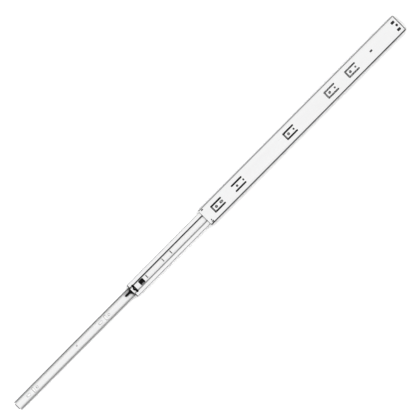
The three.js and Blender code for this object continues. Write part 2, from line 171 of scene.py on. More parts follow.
def combine(target, tools, operation):
    """Joins the tools to the target, cuts them from it, or keeps what they share."""
    for tool in tools:
        boolean = target.modifiers.new("combine", "BOOLEAN")
        boolean.operation = operation
        boolean.solver = "EXACT"
        boolean.material_mode = "INDEX"
        boolean.object = tool
        bake_modifiers(target)
        bpy.data.objects.remove(tool)
    return target


def bake_modifiers(target):
    """Makes what the modifiers give the object's own mesh."""
    graph = bpy.context.evaluated_depsgraph_get()
    baked = bpy.data.meshes.new_from_object(target.evaluated_get(graph))
    old = target.data
    target.modifiers.clear()
    target.data = baked
    bpy.data.meshes.remove(old)


def grown(outline, distance):
    """A closed convex outline moved outwards."""
    count = len(outline)
    area = sum(outline[i - 1].x * outline[i].y - outline[i].x * outline[i - 1].y for i in range(count))
    way = math.copysign(1, area)
    moved = []
    for i, point in enumerate(outline):
        before = (point - outline[i - 1]).normalized()
        after = (outline[(i + 1) % count] - point).normalized()
        mean = (before + after).normalized()
        moved.append(point + Vector((mean.y, -mean.x)) * way * distance / mean.dot(after))
    return moved


def loft(name, rings, axis, material_index=0):
    """A closed mesh through outlines of equal length, each given with its place on the axis."""
    place = AXES[axis]
    mesh = bmesh.new()
    verts = [[mesh.verts.new(place(p[0], p[1], at)) for p in outline] for outline, at in rings]
    count = len(rings[0][0])
    for near, far in zip(verts, verts[1:]):
        for i in range(count):
            j = (i + 1) % count
            mesh.faces.new((near[i], near[j], far[j], far[i]))
    mesh.faces.new(verts[0][::-1])
    mesh.faces.new(verts[-1])
    for face in mesh.faces:
        face.material_index = material_index
    bmesh.ops.recalc_face_normals(mesh, faces=mesh.faces)
    return mesh_object(name, mesh)


def cut_web(target, outlines, low, high, face=None):
    """Cuts outlines through a web that lies between two places on Y. Cut faces take slot 1. Where the
    web's face is given, the cuts are broken at that face by a chamfer."""
    tools = []
    for outline in outlines:
        if face is None:
            tools.append(prism("cut", outline, "Y", low, high, 1))
            continue
        wide = grown(outline, CUT_CHAMFER)
        rings = [(wide, low), (wide, face - CHAMFER_START), (outline, face + CUT_CHAMFER), (outline, high)]
        tools.append(loft("cut", rings, "Y", 1))
    return combine(target, tools, "DIFFERENCE")


def finish_mesh(piece, place, edge=EDGE_ROUND, segments=2):
    """Cleans the mesh, scales it to metres at its place, and rounds its sharp edges."""
    mesh = bmesh.new()
    mesh.from_mesh(piece.data)
    bmesh.ops.remove_doubles(mesh, verts=mesh.verts, dist=WELD)
    bmesh.ops.dissolve_degenerate(mesh, edges=mesh.edges, dist=WELD)
    bmesh.ops.transform(mesh, matrix=Matrix.Scale(MM, 4), verts=mesh.verts)
    bmesh.ops.translate(mesh, vec=place, verts=mesh.verts)
    for face in mesh.faces:
        face.smooth = True
    mesh.to_mesh(piece.data)
    mesh.free()
    piece.data.set_sharp_from_angle(angle=SHARP)
    bevel = piece.modifiers.new("edge_round", "BEVEL")
    bevel.width = edge * MM
    bevel.segments = segments
    bevel.limit_method = "ANGLE"
    bevel.angle_limit = SHARP
    bevel.use_clamp_overlap = True
    level = piece.modifiers.new("level_faces", "WEIGHTED_NORMAL")
    level.keep_sharp = True
    level.weight = 100
    return piece


def dress(piece, materials):
    """Fills the piece's material slots, and takes away those that it has no use for."""
    slots = piece.data.materials
    for i, material in enumerate(materials):
        slots[i] = material
    while len(slots) > len(materials):
        slots.pop()


def put_in_frame(piece, body, slot, *nodes):
    """Fixes the piece to its body and hides the CAD nodes that it stands for. The material slot is not
    used.
    """
    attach(piece, body)
    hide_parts(*nodes)


# ---------------------------------------------------------------- rolled sections

def beside(line, distance):
    """A line moved sideways, to its left where distance is positive."""
    moved = []
    for i, point in enumerate(line):
        before = point - line[max(i - 1, 0)]
        after = line[min(i + 1, len(line) - 1)] - point
        if i == 0:
            before = after
        if i == len(line) - 1:
            after = before
        mean = (before.normalized() + after.normalized()).normalized()
        reach = distance / mean.dot(after.normalized())
        moved.append(point + Vector((-mean.y, mean.x)) * reach)
    return moved


def sheet_section(corners):
    """The cross-section of a bent sheet, from the middle line of its upper half."""
    upper = shortened(rounded_line(corners), LIP_ROUND)
    lower = [Vector((p.x, -p.y)) for p in reversed(upper[1:])]
    middle = lower + upper
    left, right = beside(middle, SHEET / 2), beside(middle, -SHEET / 2)
    return [*left, *lip_end(left[-1], right[-1]), *right[::-1], *lip_end(right[0], left[0])]


def shortened(line, length):
    """A line with that much taken off its end."""
    line = list(line)
    while (line[-1] - line[-2]).length < length:
        length -= (line[-1] - line[-2]).length
        line.pop()
    line[-1] += (line[-2] - line[-1]).normalized() * length
    return line


def lip_end(start, end, steps=8):
    """The rolled strip's own edge, nearly half round, between the two faces of a lip."""
    middle, spoke = (start + end) / 2, (start - end) / 2
    out = Vector((spoke.y, -spoke.x)).normalized()
    turns = [math.pi * k / steps for k in range(1, steps)]
    return [middle + spoke * math.cos(t) + out * LIP_ROUND * math.sin(t) for t in turns]


def groove_edge(ball):
    """Height of the middle line beside a groove that carries a ball on its upper side."""
    corner = ball[1] - RACE_RADIUS / math.cos(GROOVE_SLOPE)
    return corner + GROOVE_HALF_WIDTH * math.tan(GROOVE_SLOPE)


def groove(ball, way, first_radius, last_radius):
    """Corners of that groove. way is 1 towards +Y and -1 towards -Y."""
    edge = groove_edge(ball)
    reach = way * GROOVE_HALF_WIDTH
    bottom = edge - GROOVE_HALF_WIDTH * math.tan(GROOVE_SLOPE)
    return [
        (ball[0] - reach, edge, first_radius),
        (ball[0], bottom, RACE_RADIUS),
        (ball[0] + reach, edge, last_radius),
    ]


def cabinet_section():
    top = CABINET_HALF_HEIGHT - SHEET / 2
    lip = CABINET_DEPTH - SHEET / 2
    lip_bend = 3.3
    return sheet_section([
        (SHEET / 2, 0),
        (SHEET / 2, top, 4.7),
        (lip, top, lip_bend),
        (lip, top - lip_bend - 0.1),
    ])


def intermediate_section():
    shoulder = SHOULDER_Y + SHEET / 2
    wrap = math.radians(65)
    race = INNER_BALL[1] + RACE_RADIUS
    end = Matrix.Rotation(math.pi / 2 - wrap, 2) @ Vector((RACE_RADIUS + 0.02, 0.1))
    return sheet_section([
        (shoulder + WEB_RECESS, 0),
        (shoulder + WEB_RECESS, WEB_STEP - WEB_STEP_SLOPE, 1),
        (shoulder, WEB_STEP + WEB_STEP_SLOPE, 1),
        (shoulder, groove_edge(OUTER_BALL), 0.9),
        *groove(OUTER_BALL, 1, 1.2, 0.8),
        (INNER_BALL[0] - 1.1, race, 1.5),
        (INNER_BALL[0] + RACE_RADIUS * math.tan(wrap / 2), race, RACE_RADIUS),
        (INNER_BALL[0] + end.x + 0.08, INNER_BALL[1] + end.y - 0.18),
    ])


def drawer_section():
    web = THICKNESS - SHEET / 2
    edge = groove_edge(INNER_BALL)
    return sheet_section([(web, 0), (web, edge, 1.3), *groove(INNER_BALL, -1, 1.2, 1.2), (6.6, edge)])


# ---------------------------------------------------------------- cabinet member

TAB_FIRST_HOLE = 35.5
TAB_STEPS = (0, 7, 11, 13)
TAB_SLOT_Z = 7.7
TAB_SLOT_WIDTH = 2.9
TAB_FRONT = -9.2
TAB_REAR = 20.6
BRIDGE_HOLE = TAB_FIRST_HOLE + 2 * PITCH
TAB_HOLE_RADIUS = 2.75
BRIDGE_HOLE_RADIUS = 2.25
LONG_HOLE = (15.2, 8.3, 4.8)  # behind the first tab's hole: distance, length, height
SMALL_HOLE = (15.7, 1.75)  # behind the other tabs' holes: distance, radius
BRIDGE_SMALL_HOLE = (19.4, 1.75)
CAGE_STOP_X = 7.5
CAGE_STOP_OPENING = ((2.9, 15.6), (1.0, 20.0))  # half width and height of its base and of its tip
CAGE_STOP_CUT_DEPTH = 3.2
CAGE_STOP_TAB = (1.9, (1.4, 3.6), (19.3, 20.4))  # half width, y and z
SETTING_MARK = (-12.8, 1.1)  # height and radius of the small hole by the lower cage stop
REAR_STOP = (515.8, 6.6, 2.8)  # x, length and height of its opening
REAR_STOP_TAB = ((-1, 0.1), (0.8, 3.2), (-1.3, 1.3))  # x from the opening's front, y and z
REAR_SLOT = (592.8, 10.0, 8.0, 4.8, 1.0)  # x, z, length, height and corner radius
REAR_HOLE = (595.7, 2.5)  # x and radius
CABINET_REAR_CORNER = 4.5


def tab_cuts(hole, bridge=False):
    """The long cuts beside a tab, joined at the front by a cross cut unless the tab is a bridge."""
    front = hole + TAB_FRONT - TAB_SLOT_WIDTH / 2
    rear = hole + TAB_REAR
    cuts = [
        round_slot((front + rear) / 2, z, rear - front, TAB_SLOT_WIDTH)
        for z in (-TAB_SLOT_Z, TAB_SLOT_Z)
    ]
    if not bridge:
        height = 2 * TAB_SLOT_Z + TAB_SLOT_WIDTH
        cuts.append(round_slot(hole + TAB_FRONT, 0, TAB_SLOT_WIDTH, height))
    return cuts


def rear_slot(side, inset=0.0):
    x, z, width, height, corner = REAR_SLOT
    return rounded_box(x, side * z, width - 2 * inset, height - 2 * inset, corner - inset / 2)


def cabinet_cuts():
    cuts = []
    for step in TAB_STEPS:
        hole = TAB_FIRST_HOLE + step * PITCH
        if step == 0:
            second = round_slot(hole + LONG_HOLE[0], 0, *LONG_HOLE[1:])
        else:
            second = circle(hole + SMALL_HOLE[0], 0, SMALL_HOLE[1])
        cuts += [*tab_cuts(hole), circle(hole, 0, TAB_HOLE_RADIUS), second]
    cuts += tab_cuts(BRIDGE_HOLE, bridge=True)
    behind, radius = BRIDGE_SMALL_HOLE
    cuts += [circle(BRIDGE_HOLE, 0, BRIDGE_HOLE_RADIUS), circle(BRIDGE_HOLE + behind, 0, radius)]
    cuts += [circle(CAGE_STOP_X, *SETTING_MARK, 24), round_slot(REAR_STOP[0], 0, *REAR_STOP[1:])]
    cuts += [rear_slot(-1), rear_slot(1), circle(REAR_HOLE[0], 0, REAR_HOLE[1])]
    return cuts


def cage_stop_cut(side):
    (base, low), (tip, high) = CAGE_STOP_OPENING
    corners = ((-base, low), (base, low), (tip, high), (-tip, high))
    return rounded_shape([(CAGE_STOP_X + x, side * z, 0.4) for x, z in corners])


def block(name, x, y, z):
    """A box between two places on each axis."""
    outline = [Vector(p) for p in ((x[0], z[0]), (x[1], z[0]), (x[1], z[1]), (x[0], z[1]))]
    return prism(name, outline, "Y", y[0], y[1])


def coined(x, y, facing, half_height):
    """The wedge that a section's end loses where it is pressed thinner on its cabinet side."""
    depth = COINED_DEPTH * (COINED_LENGTH + PAST) / COINED_LENGTH
    back, past = x - facing * COINED_LENGTH, x + facing * PAST
    corners = ((back, y - BITE), (past, y - BITE), (past, y + depth))
    outline = [Vector(corner) for corner in corners]
    # The pressed face takes slot 1, the dark cut-steel colour, as painted shade along the section's end.
    return prism("coined", outline, "Z", -half_height, half_height, 1)


def cabinet_member(length):
    margin = CABINET_HALF_HEIGHT + 1.5
    corner = CABINET_REAR_CORNER
    plan = rounded_shape([(0, -margin), (length, -margin, corner), (length, margin, corner), (0, margin)])
    rail = prism("cabinet_rail", cabinet_section(), "X", -PAST, length + PAST)
    combine(rail, [prism("plan", plan, "Y", -PAST, CABINET_DEPTH + PAST, 1)], "INTERSECT")
    cut_web(rail, cabinet_cuts(), -PAST, SHEET + PAST, 0)
    cut_web(rail, [cage_stop_cut(-1), cage_stop_cut(1)], -PAST, CAGE_STOP_CUT_DEPTH)
    stops = []
    half, y, z = CAGE_STOP_TAB
    for side in (-1, 1):
        x = (CAGE_STOP_X - half, CAGE_STOP_X + half)
        stops.append(block("stop", x, y, sorted(side * height for height in z)))
    front = REAR_STOP[0] - REAR_STOP[1] / 2
    x, y, z = REAR_STOP_TAB
    stops.append(block("stop", (front + x[0], front + x[1]), y, z))
    combine(rail, stops, "UNION")
    return combine(rail, [coined(length, 0, 1, margin)], "DIFFERENCE")


# ---------------------------------------------------------------- intermediate member

PIVOT_SLOT = (8.7, 4.2, 19.8)  # x, length along the slide and height
PIVOT_RELIEF = (8, 2)  # height and radius of the slot's reliefs at the web's two bends
RIVET_CLEARANCE = 4.5  # radius of the slot's bulge
HOOK_WINDOW = (29.8, -0.4, 12.0, 11.8)  # x, z, length and height
TICKS = ((45.6, 1.5), (95.9, 0.9), (120.7, 1.2))  # x and length of the thin cross cuts
TICK_Z, TICK_HEIGHT = 0.4, 8
HOOK_STOP_INSET = 0.2  # how far the stop's face stands behind the window's front edge
HOOK_STOP_Z = (-5.5, -1)


def pivot_slot_cuts():
    """A cross slot, its round relief at the two bends, and a bulge that clears the lever's rivet."""
    x, length, height = PIVOT_SLOT
    bulge = [p for p in circle(x, 0, RIVET_CLEARANCE, 48) if p.x < x + 0.01]
    z, radius = PIVOT_RELIEF
    return [round_slot(x, 0, length, height), circle(x, z, radius), circle(x, -z, radius), bulge]


def intermediate_member(length):
    rail = prism("intermediate_rail", intermediate_section(), "X", 0, length, 0, 1)
    cuts = [*pivot_slot_cuts(), rounded_box(*HOOK_WINDOW, 2)]
    cuts += [round_slot(x, TICK_Z, width, TICK_HEIGHT) for x, width in TICKS]
    face = SHOULDER_Y + WEB_RECESS
    cut_web(rail, cuts, -PAST, face + SHEET + PAST, face)
    rear = HOOK_WINDOW[0] - HOOK_WINDOW[2] / 2 + HOOK_STOP_INSET
    stop = block("stop", (rear - SHEET, rear), (face + 0.4, 7.8), HOOK_STOP_Z)
    combine(rail, [stop], "UNION")
    return combine(rail, [coined(0, SHOULDER_Y, -1, CABINET_HALF_HEIGHT)], "DIFFERENCE")


# ---------------------------------------------------------------- drawer member

DRAWER_GROUPS = (0, 7 * PITCH, 14 * PITCH)
TOOLING_HOLE = (185, 1.8, 1.4)  # x, z and radius
LONG_SLOT = (33.8, 10.5, 4.8)  # in each group: x, length and height
CROSS_SLOT = (49.5, 4.8, 11.8)
ROUND_HOLE = (59.4, 2.4)  # x and radius
TONGUE_LENGTH = 3.0
TONGUE_HALF_WIDTH = 7.25


def drawer_cuts():
    cuts = [circle(*TOOLING_HOLE, 24), circle(LEVER_PIVOT, 0, LEVER_BORE)]
    for start in DRAWER_GROUPS:
        for x, length, height in (LONG_SLOT, CROSS_SLOT):
            cuts.append(round_slot(start + x, 0, length, height))
        cuts.append(circle(start + ROUND_HOLE[0], 0, ROUND_HOLE[1]))
    return cuts


def drawer_member(length):
    margin, tongue = 14, TONGUE_HALF_WIDTH
    plan = rounded_shape([
        (-TONGUE_LENGTH, -tongue, 2),
        (0, -tongue, 0.5),
        (0, -margin),
        (length, -margin, 3),
        (length, margin, 3),
        (0, margin),
        (0, tongue, 0.5),
        (-TONGUE_LENGTH, tongue, 2),
    ])
    rail = prism("drawer_rail", drawer_section(), "X", -TONGUE_LENGTH - PAST, length + PAST)
    combine(rail, [prism("plan", plan, "Y", 0, THICKNESS + PAST, 1)], "INTERSECT")
    inner = THICKNESS - SHEET
    cut_web(rail, drawer_cuts(), inner - PAST, THICKNESS + PAST, inner)
    return combine(rail, [coined(-TONGUE_LENGTH, inner, -1, tongue + PAST)], "DIFFERENCE")


# ---------------------------------------------------------------- lever, rivet and bumper

def ring(name, x, z, inner, outer, y, steps=48):
    """A flat ring round the Y direction."""
    body = prism(name, circle(x, z, outer, steps), "Y", *y)
    hole = prism("hole", circle(x, z, inner, steps), "Y", y[0] - PAST, y[1] + PAST)
    return combine(body, [hole], "DIFFERENCE")


LEVER_OUTLINE = (
    (-27.4, 0.1, 1.5),
    (-27.4, 3.9, 1.5),
    (-14, 4, 4),
    (-9.8, 8.3, 1.2),
    (-5, 9, 3),
    (0, 9.6, 6),
    (5, 8.3, 3),
    (8, 4.4, 4),
    (17, 4.2, 0.8),
    (17, -3.2, 0.8),
    (8, -4, 4),
    (5, -8.3, 3),
    (0, -9.6, 6),
    (-5, -9, 3),
    (-9.8, -7.7, 1.2),
    (-14.6, -0.1, 5),
)
HOOK_OUTLINE = (
    (16.6, -3.4, 0.6),
    (20, -3.5, 0.5),
    (21.5, -1.2, 0.5),
    (24.2, -4.2, 0.4),
    (26.4, -5.6, 0.5),
    (26.9, 1.5, 1.5),
    (25.7, 4.7, 1.2),
    (19.4, 4.6, 2),
    (16.6, 1.4, 2),
)
HUB_GROOVE = (4.1, 6.9, 0.7)  # inner and outer radius, depth
HUB_BOSS = (3.4, 0.45)  # radius, height above the lever's face
GRIP_X = (-25.8, -24.4, -23.0, -21.6, -20.2)
GRIP_RIB = (2.0, 0.62, 3.0, 0.25)  # z, length, height and corner radius
GRIP_RIB_RISE = 0.4
ROOT = 0.2  # how deep a raised detail is rooted in its body


def release_lever():
    """A moulded arm, hub and hook, with a boss round the bore, a rim round the hub and a ribbed grip."""
    low, high = LEVER_Y
    lever = prism("release_lever_body", rounded_shape(LEVER_OUTLINE), "Y", low, high)
    hook = prism("hook", rounded_shape(HOOK_OUTLINE), "Y", LEVER_NOSE_Y, high - 0.01)
    combine(lever, [hook], "UNION")
    groove_inner, groove_outer, groove_depth = HUB_GROOVE
    pocket = ring("pocket", 0, 0, groove_inner, groove_outer, (low - PAST, low + groove_depth))
    boss = ring("boss", 0, 0, LEVER_BORE + 0.9, HUB_BOSS[0], (low - HUB_BOSS[1], low + ROOT))
    combine(lever, [pocket], "DIFFERENCE")
    combine(lever, [boss], "UNION")
    ribs = [
        prism("rib", rounded_box(x, *GRIP_RIB), "Y", low - GRIP_RIB_RISE, low + ROOT) for x in GRIP_X
    ]
    combine(lever, ribs, "UNION")
    bore = prism("bore", circle(0, 0, LEVER_BORE), "Y", low - 2 * PAST, high + PAST)
    return combine(lever, [bore], "DIFFERENCE")


def turned(name, profile, steps=48):
    """A profile of (radius, y) turned round the Y direction. It starts and ends on the axis."""
    mesh = bmesh.new()
    rings = []
    for radius, y in profile:
        if radius == 0:
            rings.append([mesh.verts.new((0, y, 0))] * steps)
            continue
        turns = (2 * math.pi * k / steps for k in range(steps))
        rings.append([mesh.verts.new((radius * math.cos(t), y, radius * math.sin(t))) for t in turns])
    for near, far in zip(rings, rings[1:]):
        for k in range(steps):
            j = (k + 1) % steps
            corners = list(dict.fromkeys((near[k], near[j], far[j], far[k])))
            mesh.faces.new(corners)
    bmesh.ops.recalc_face_normals(mesh, faces=mesh.faces)
    return mesh_object(name, mesh)


def lever_rivet():
    """An upset head with a shallow dimple from the setting tool, its shank and its clenched tail."""
    under = LEVER_Y[0] - 0.3
    top = under - 0.9
    tail = THICKNESS - 0.1
    return turned("lever_rivet_body", [
        (0, top + 0.18),
        (0.5, top + 0.14),
        (0.85, top),
        (1.9, top + 0.06),
        (2.25, top + 0.25),
        (2.4, top + 0.55),
        (2.4, under),
        (1.5, under),
        (1.5, tail),
        (0, tail),
    ])


BUMPER_X = (588.6, 600.5)
BUMPER_Y = (SHEET + 0.3, 11.6)
BUMPER_HALF_HEIGHT = 14
BUMPER_RELIEF = (594, 5, 18)  # x, length and height
BUMPER_RELIEF_Y = (4, 13)
LUG_GAP = 0.3  # between the bumper's lugs and peg and the openings that they stand in
LUG_FACE_Y = 0.2


def rear_bumper():
    """A moulded block held by two lugs and a peg, cored out behind."""
    front, rear = BUMPER_X
    half = BUMPER_HALF_HEIGHT
    low, high = BUMPER_Y
    outline = rounded_shape([(front, -half, 1.5), (rear, -half, 3), (rear, half, 3), (front, half, 1.5)])
    body = prism("rear_bumper_body", outline, "Y", low, high)
    held = [prism("lug", rear_slot(side, LUG_GAP), "Y", LUG_FACE_Y, low + 1) for side in (-1, 1)]
    peg = circle(REAR_HOLE[0], 0, REAR_HOLE[1] - LUG_GAP)
    held.append(prism("peg", peg, "Y", LUG_FACE_Y, low + 1))
    combine(body, held, "UNION")
    x, length, height = BUMPER_RELIEF
    relief = prism("relief", round_slot(x, 0, length, height), "Y", *BUMPER_RELIEF_Y)
    return combine(body, [relief], "DIFFERENCE")


# ---------------------------------------------------------------- balls and cages

OUTER_CAGE = {"start": 10.2, "length": 300.0, "y": (2.2, 7.5), "balls": 13, "pitch": 24.0}
INNER_CAGE = {"start": 5.0, "length": 210.0, "y": (6.3, 11.8), "balls": 10, "pitch": 22.0}
POCKET_RADIUS = 2.2
CAGE_CORNER = 0.8
CAGE_THICKNESS = 1.0


def ball_places(cage):
    first = cage["start"] + (cage["length"] - (cage["balls"] - 1) * cage["pitch"]) / 2
    return [first + i * cage["pitch"] for i in range(cage["balls"])]


def cage_strip(cage, ball, side):
    """A flat strip with a pocket for each ball."""
    low, high = cage["y"]
    start, end = cage["start"], cage["start"] + cage["length"]
    corners = ((start, low), (end, low), (end, high), (start, high))
    outline = rounded_shape([(x, y, CAGE_CORNER) for x, y in corners])
    middle = side * ball[1]
    span = (middle - CAGE_THICKNESS / 2, middle + CAGE_THICKNESS / 2)
    strip = prism("cage_strip", outline, "Z", *span)
    pockets = [
        prism("pocket", circle(x, ball[0], POCKET_RADIUS), "Z", span[0] - PAST, span[1] + PAST, 1)
        for x in ball_places(cage)
    ]
    return combine(strip, pockets, "DIFFERENCE")


def ball_mesh():
    mesh = bmesh.new()
    bmesh.ops.create_icosphere(mesh, subdivisions=4, radius=BALL_RADIUS * MM)
    for face in mesh.faces:
        face.smooth = True
    data = bpy.data.meshes.new("ball")
    mesh.to_mesh(data)
    mesh.free()
    return data


# ---------------------------------------------------------------- materials

ZINC_ROUGHNESS = 0.32
SHADE_REACH = 6 * MM  # how near the steel that keeps light out has to be


class Finish:
    """A Principled material and a short way to add nodes to it."""

    def __init__(self, name, **values):
        self.material = bpy.data.materials.new(name)
        self.material.use_nodes = True
        self.tree = self.material.node_tree
        self.shader = self.tree.nodes["Principled BSDF"]
        for socket, value in values.items():
            self.shader.inputs[socket.replace("_", " ")].default_value = value
        self.place = self.node("ShaderNodeTexCoord").outputs["Object"]

    def node(self, kind, settings=(), **sockets):
        made = self.tree.nodes.new(kind)
        for key, value in dict(settings).items():
            setattr(made, key, value)
        for key, value in sockets.items():
            self.feed(made.inputs[key.replace("_", " ")], value)
        return made

    def feed(self, socket, value):
        if isinstance(value, bpy.types.NodeSocket):
            self.tree.links.new(value, socket)
        else:
            socket.default_value = value

    def stretched(self, scale, shift):
        """The object's own coordinates, scaled to features per metre and shifted."""
        made = self.node("ShaderNodeMapping", Vector=self.place, Scale=scale, Location=shift)
        return made.outputs["Vector"]

    def noise(self, scale, shift, detail=4.0, roughness=0.5):
        where = self.stretched(scale, shift)
        settings = {"Scale": 1.0, "Detail": detail, "Roughness": roughness}
        return self.node("ShaderNodeTexNoise", Vector=where, **settings).outputs["Fac"]

    def pits(self, scale, shift):
        where = self.stretched(scale, shift)
        return self.node("ShaderNodeTexVoronoi", Vector=where, Scale=1.0).outputs["Distance"]

    def spread(self, value, low, high, start=0.0, end=1.0):
        """Value from low..high spread over start..end."""
        made = self.node("ShaderNodeMapRange", Value=value)
        for key, number in (("From Min", low), ("From Max", high), ("To Min", start), ("To Max", end)):
            made.inputs[key].default_value = number
        return made.outputs["Result"]

    def maths(self, operation, a, b):
        made = self.node("ShaderNodeMath", {"operation": operation})
        self.feed(made.inputs[0], a)
        self.feed(made.inputs[1], b)
        return made.outputs[0]

    def blend(self, factor, first, second):
        """A colour between two others."""
        made = self.node("ShaderNodeMix", {"data_type": "RGBA"})
        self.feed(made.inputs["Factor"], factor)
        for socket, colour in zip([s for s in made.inputs if s.type == "RGBA"], (first, second)):
            self.feed(socket, colour)
        return [s for s in made.outputs if s.type == "RGBA"][0]

    def bump(self, height, distance, strength, onto=None):
        made = self.node("ShaderNodeBump", Height=height, Distance=distance, Strength=strength)
        if onto is not None:
            self.tree.links.new(onto, made.inputs["Normal"])
        return made.outputs["Normal"]

    def worn_edge(self, radius):
        """1 where the surface turns sharply within a radius, 0 on flat metal."""
        rounded = self.node("ShaderNodeBevel", {"samples": 4}, Radius=radius).outputs[0]
        true = self.node("ShaderNodeNewGeometry").outputs["Normal"]
        made = self.node("ShaderNodeVectorMath", {"operation": "DOT_PRODUCT"})
        self.feed(made.inputs[0], rounded)
        self.feed(made.inputs[1], true)
        return self.spread(made.outputs["Value"], 0.98, 0.80)

    def painted_shade_mask(self, reach):
        """1 where little light gets in, as deep inside a channel or behind a cut, 0 in the open: the mask
        for painted shade.
        """
        made = self.node("ShaderNodeAmbientOcclusion", {"samples": 6}, Distance=reach)
        return self.spread(made.outputs["AO"], 0.90, 0.55)

    def race(self, *centres):
        """1 where a ball runs: within reach of a line of ball centres (y, z) above or below the middle."""
        split = self.node("ShaderNodeSeparateXYZ", Vector=self.place)
        height = self.maths("ABSOLUTE", split.outputs["Z"], 0)
        found = None
        for y, z in centres:
            dy = self.maths("SUBTRACT", split.outputs["Y"], y * MM)
            dz = self.maths("SUBTRACT", height, z * MM)
            squares = self.maths("ADD", self.maths("POWER", dy, 2), self.maths("POWER", dz, 2))
            near = self.spread(self.maths("SQRT", squares, 0), 2.75 * MM, 2.35 * MM)
            found = near if found is None else self.maths("MAXIMUM", found, near)
        return found

    def done(self, colour, roughness, normal):
        for socket, value in (("Base Color", colour), ("Roughness", roughness), ("Normal", normal)):
            self.feed(self.shader.inputs[socket], value)
        return self.material


def grey(tone, warmth=0.0):
    """A neutral colour, a little redder where warmth is positive."""
    return (tone * (1 + warmth), tone, tone * (1 - warmth), 1)


def zinc_plate(name, seed, races):
    """Bright zinc on rolled strip: drawn lines along the slide, faint cloudy passivation, fine handling
    marks, brighter worn edges, and a burnished, lightly greased band where the balls run. Painted shade
    darkens the tone towards black where nearby steel keeps light out."""
    finish = Finish(name, Metallic=1.0)
    rolled = finish.noise((3, 900, 900), (seed, 0, 0), 3)
    broad = finish.noise((2, 120, 120), (seed, 5, 0), 2)
    cloud = finish.noise((9, 26, 26), (seed, 2, 7), 4, 0.6)
    grain = finish.noise((1800, 2600, 2600), (seed, 1, 3), 2)
    marks = finish.spread(finish.noise((40, 2200, 700), (seed, 9, 4), 5, 0.7), 0.66, 0.74)
    ball = finish.race(*races)
    edge = finish.worn_edge(0.35 * MM)
    tone = finish.blend(cloud, grey(0.90, -0.006), grey(0.965, 0.004))
    tone = finish.blend(finish.spread(broad, 0.35, 0.75, 0, 0.10), tone, grey(0.80, 0.0))
    tone = finish.blend(finish.maths("MULTIPLY", ball, 0.35), tone, grey(0.74, 0.02))
    tone = finish.blend(finish.maths("MULTIPLY", edge, 0.5), tone, grey(0.97))
    # Painted shade: the tone goes towards near black where nearby steel keeps light out.
    tone = finish.blend(finish.maths("MULTIPLY", finish.painted_shade_mask(SHADE_REACH), 0.92), tone, grey(0.03))
    rough = finish.spread(rolled, 0.3, 0.7, ZINC_ROUGHNESS - 0.03, ZINC_ROUGHNESS + 0.03)
    rough = finish.maths("ADD", rough, finish.spread(cloud, 0.3, 0.7, -0.03, 0.04))
    rough = finish.maths("SUBTRACT", rough, finish.maths("MULTIPLY", ball, 0.08))
    rough = finish.maths("ADD", rough, finish.maths("MULTIPLY", marks, 0.08))
    normal = finish.bump(rolled, 0.01 * MM, 0.10)
    normal = finish.bump(grain, 0.005 * MM, 0.08, normal)
    normal = finish.bump(marks, 0.005 * MM, 0.15, normal)
    return finish.done(tone, rough, normal)


def sheared_edge(name, seed):
    """The cut face of the sheet: dull, with torn patches and fine lines."""
    finish = Finish(name, Metallic=1.0)
    torn = finish.noise((900, 5200, 900), (seed, 3, 1), 4, 0.65)
    lines = finish.noise((3000, 160, 3000), (seed, 0, 8), 3)
    tone = finish.blend(torn, grey(0.22, 0.01), grey(0.38))
    rough = finish.spread(lines, 0.3, 0.7, 0.36, 0.55)
    normal = finish.bump(lines, 0.03 * MM, 0.5)
    normal = finish.bump(torn, 0.03 * MM, 0.5, normal)
    return finish.done(tone, rough, normal)


def cage_steel():
    finish = Finish("cage_steel", Metallic=1.0)
    rolled = finish.noise((6, 1500, 1500), (3, 0, 0), 3)
    cloud = finish.noise((60, 160, 160), (1, 6, 2), 4)
    tone = finish.blend(cloud, grey(0.58, 0.01), grey(0.72))
    # Painted shade: the tone goes towards near black where nearby steel keeps light out.
    tone = finish.blend(finish.maths("MULTIPLY", finish.painted_shade_mask(SHADE_REACH), 0.92), tone, grey(0.03))
    rough = finish.spread(rolled, 0.3, 0.7, 0.34, 0.46)
    return finish.done(tone, rough, finish.bump(rolled, 0.02 * MM, 0.4))


def ball_steel():
    """Hardened and polished, with a faint film of grease."""
    finish = Finish("ball_steel", Metallic=1.0)
    haze = finish.noise((500, 500, 500), (2, 4, 1), 4)
    pits = finish.pits((4200, 4200, 4200), (5, 1, 2))
    tone = finish.blend(haze, grey(0.74), grey(0.86))
    rough = finish.spread(haze, 0.35, 0.75, 0.08, 0.20)
    return finish.done(tone, rough, finish.bump(pits, 0.004 * MM, 0.15))


def rivet_steel():
    finish = Finish("rivet_steel", Metallic=1.0)
    hammered = finish.pits((1500, 1500, 1500), (1, 3, 2))
    haze = finish.noise((700, 700, 700), (4, 2, 6), 4)
    tone = finish.blend(haze, grey(0.07, 0.02), grey(0.13))
    rough = finish.spread(haze, 0.3, 0.7, 0.34, 0.5)
    return finish.done(tone, rough, finish.bump(hammered, 0.03 * MM, 0.4))


def black_plastic(name, seed, dark, light):
    """Moulded acetal: a fine spark-eroded grain, slightly shinier where it is rubbed."""
    finish = Finish(name)
    finish.shader.inputs["Specular IOR Level"].default_value = 0.12
    grain = finish.pits((5200, 5200, 5200), (seed, 2, 5))
    fine = finish.noise((7000, 7000, 7000), (seed, 0, 3), 2)
    cloud = finish.noise((180, 180, 180), (seed, 4, 4), 3)
    edge = finish.worn_edge(0.3 * MM)
    tone = finish.blend(cloud, grey(dark), grey(light))
    tone = finish.blend(finish.maths("MULTIPLY", edge, 0.3), tone, grey(0.05))
    rough = finish.spread(cloud, 0.3, 0.7, 0.42, 0.55)
    rough = finish.maths("SUBTRACT", rough, finish.maths("MULTIPLY", edge, 0.12))
    normal = finish.bump(grain, 0.02 * MM, 0.4)
    return finish.done(tone, rough, finish.bump(fine, 0.01 * MM, 0.3, normal))


# ---------------------------------------------------------------- the pieces in their places

